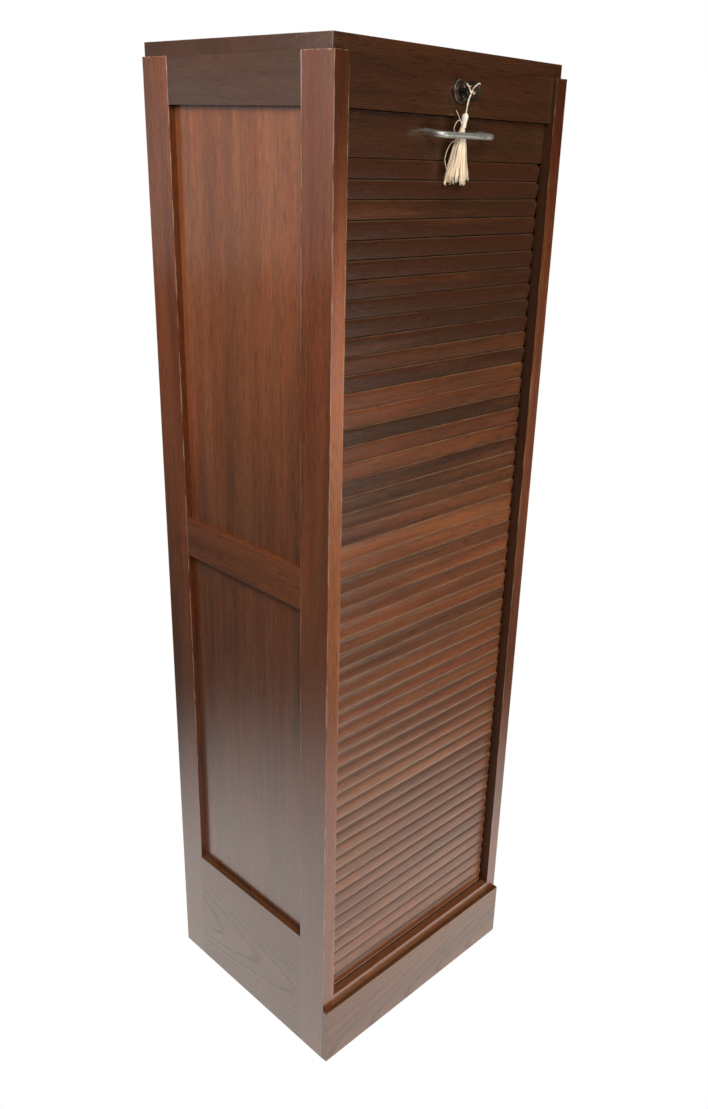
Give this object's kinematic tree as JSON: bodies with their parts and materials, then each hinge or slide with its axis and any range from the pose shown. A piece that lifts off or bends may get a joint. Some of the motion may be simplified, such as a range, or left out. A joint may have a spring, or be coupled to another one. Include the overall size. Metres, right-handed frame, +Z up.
{
  "type": "tambour filing cabinet",
  "caption": "Tall narrow oak cabinet with framed sides and a slatted tambour shutter that slides down behind a sill, with a bow handle, a lock and a key with a tassel.",
  "frame": {"origin": "on the floor, under the middle of the box that holds the cabinet without its tassel", "axes": "+X to the right seen from the front, -Y towards the front, +Z up"},
  "size_m": [0.466, 0.435, 1.619],
  "materials": {
    "frame_oak": "stained and varnished oak, semi-gloss, worn edges",
    "panel_oak": "stained and varnished oak, upright grain",
    "dark_oak": "dark stained oak, satin",
    "slat_oak": "stained oak slats, each of its own tone",
    "base_oak": "stained oak, scuffed",
    "inside_wood": "plain unpolished wood",
    "canvas": "coarse canvas with glue size",
    "handle_metal": "dull satin, lightly scratched",
    "steel": "dull steel",
    "brass": "aged brass",
    "turned_brown": "dark brown, turned and polished",
    "dark_iron": "dark, handled smooth",
    "cord_silk": "twisted cream cord",
    "tassel_silk": "cream twisted strands"
  },
  "bodies": {
    "case": {"left_front_stile": "frame_oak", "right_front_stile": "frame_oak", "left_rear_stile": "frame_oak", "right_rear_stile": "frame_oak", "left_top_rail": "frame_oak", "right_top_rail": "frame_oak", "left_middle_rail": "frame_oak", "right_middle_rail": "frame_oak", "left_bottom_rail": "frame_oak", "right_bottom_rail": "frame_oak", "left_upper_panel": "panel_oak", "right_upper_panel": "panel_oak", "left_lower_panel": "panel_oak", "right_lower_panel": "panel_oak", "top_board": "dark_oak", "top_cleats": "inside_wood", "lock_rail": "dark_oak", "sill": "base_oak", "plinth_board": "base_oak", "front_base_rail": "inside_wood", "floor_board": "inside_wood", "floor_battens": "inside_wood", "back_top_rail": "frame_oak", "back_middle_rail": "frame_oak", "back_bottom_rail": "frame_oak", "back_upper_panel": "panel_oak", "back_lower_panel": "panel_oak", "inner_back_panel": "inside_wood", "shelf_1": "inside_wood", "shelf_2": "inside_wood", "shelf_3": "inside_wood", "shelf_4": "inside_wood", "shelf_5": "inside_wood", "shelf_battens": "inside_wood", "batten_screws": "steel", "canvas": "canvas", "tail_canvas": "canvas", "top_slats": "slat_oak", "upper_slats": "slat_oak", "middle_slats": "slat_oak", "lower_slats": "slat_oak", "bottom_slats": "slat_oak", "tail_slats": "slat_oak", "escutcheon": "turned_brown", "lock_case": "steel", "lock_cap": "steel", "lock_screws": "steel"},
    "shutter": {"leading_board": "dark_oak", "handle": "handle_metal", "handle_screws": "steel", "keeper_plate": "brass", "keeper_screws": "brass"},
    "key": {"key": "dark_iron"},
    "bolt": {"lock_bolt": "brass"},
    "tassel": {"tassel_knot": "cord_silk", "tassel_cord": "cord_silk", "tassel": "tassel_silk"}
  },
  "joints": [
    {"name": "shutter_slide", "type": "slide", "parent": "case", "child": "shutter", "axis": [0, 0, -1], "range_m": [0, 1.35], "deforming": ["top_slats", "upper_slats", "middle_slats", "lower_slats", "bottom_slats", "canvas"]},
    {"name": "key_turn", "type": "hinge", "parent": "case", "child": "key", "pos_m": [0, -0.2, 1.569], "axis": [0, -1, 0], "range_deg": [0, 180]},
    {"name": "bolt_slide", "type": "slide", "parent": "case", "child": "bolt", "axis": [0, 0, -1], "range_m": [0, 0.009]},
    {"name": "tassel_swing", "type": "hinge", "parent": "key", "child": "tassel", "pos_m": [0, -0.2045, 1.57664], "axis": [0, -1, 0], "range_deg": [-180, 0]}
  ],
  "couplings": [
    {"joint": "bolt_slide", "follows": "key_turn", "m_per_rad": 0.0028647},
    {"joint": "tassel_swing", "follows": "key_turn", "ratio": -1}
  ]
}
